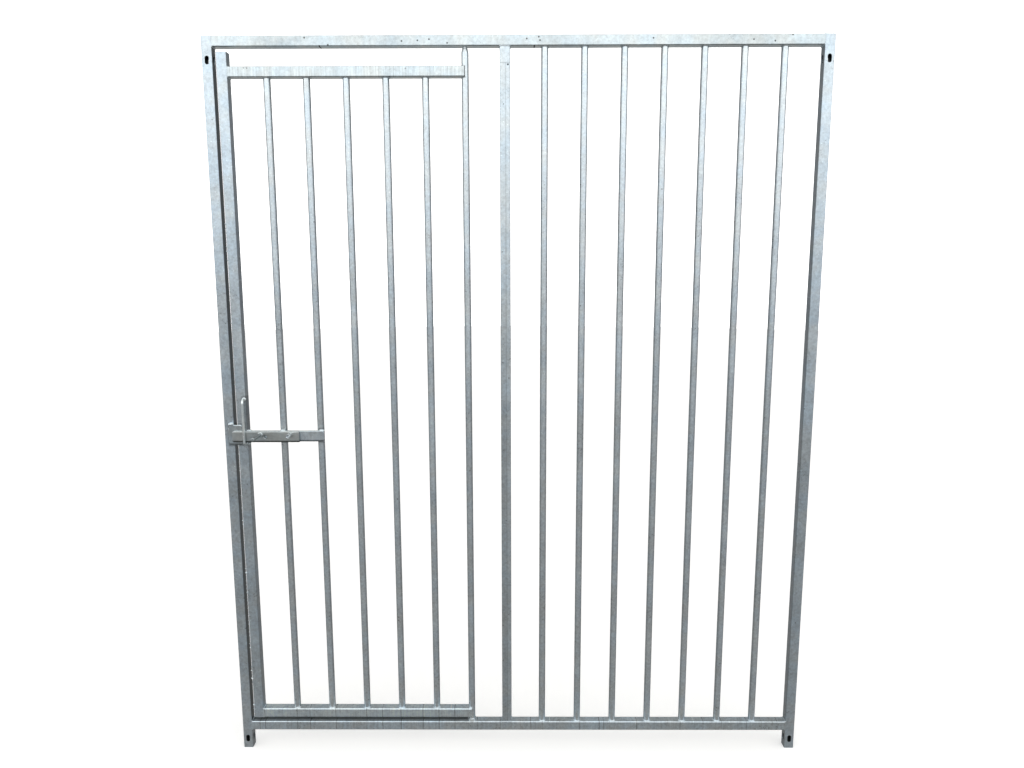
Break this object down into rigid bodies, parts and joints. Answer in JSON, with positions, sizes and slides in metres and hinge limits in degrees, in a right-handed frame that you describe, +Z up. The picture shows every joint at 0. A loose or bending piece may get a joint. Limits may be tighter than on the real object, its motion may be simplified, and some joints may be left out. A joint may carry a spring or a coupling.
{
  "type": "kennel gate panel",
  "caption": "Galvanised steel barred panel with an inset barred door on a pin hinge, a drop latch, and slotted stiles for bolting to its neighbours.",
  "frame": {"origin": "on the ground, under the middle of the panel's overall width and depth", "axes": "+X to the right seen from outside, +Y into the run, +Z up"},
  "size_m": [1.5, 0.0936, 1.84],
  "materials": {
    "tube_zinc": "hot-dip galvanised, satin, faint spangle",
    "bar_zinc": "hot-dip galvanised, satin",
    "latch_zinc": "hot-dip galvanised, mottled",
    "lever_zinc": "hot-dip galvanised, darker and duller",
    "fastener_zinc": "zinc plated"
  },
  "bodies": {
    "frame": {"frame_left_stile": "tube_zinc", "frame_right_stile": "tube_zinc", "frame_top_rail": "tube_zinc", "frame_bottom_rail": "tube_zinc", "mid_post": "tube_zinc", "fixed_bar_1": "bar_zinc", "fixed_bar_2": "bar_zinc", "fixed_bar_3": "bar_zinc", "fixed_bar_4": "bar_zinc", "fixed_bar_5": "bar_zinc", "fixed_bar_6": "bar_zinc", "fixed_bar_7": "bar_zinc", "keeper_plate": "latch_zinc", "hinge_washer": "fastener_zinc"},
    "door": {"door_latch_stile": "tube_zinc", "door_top_rail": "tube_zinc", "door_bottom_rail": "tube_zinc", "door_bar_1": "bar_zinc", "door_bar_2": "bar_zinc", "door_bar_3": "bar_zinc", "door_bar_4": "bar_zinc", "door_bar_5": "bar_zinc", "hinge_bar": "bar_zinc", "hinge_top_pin": "fastener_zinc", "hinge_bottom_pin": "fastener_zinc", "backing_flat": "latch_zinc", "guide_bail": "latch_zinc", "pivot_bolt": "fastener_zinc", "pivot_washer": "fastener_zinc", "sleeve_nut": "fastener_zinc"},
    "latch": {"latch_lever": "lever_zinc", "lift_finger": "lever_zinc"}
  },
  "joints": [
    {"name": "door_swing", "type": "hinge", "parent": "frame", "child": "door", "pos_m": [-0.1255, 0.03425, 0.079], "axis": [0, 0, -1], "range_deg": [0, 160]},
    {"name": "latch_lift", "type": "hinge", "parent": "door", "child": "latch", "pos_m": [-0.5795, 0.01425, 0.8775], "axis": [0, 1, 0], "range_deg": [0, 32]}
  ]
}
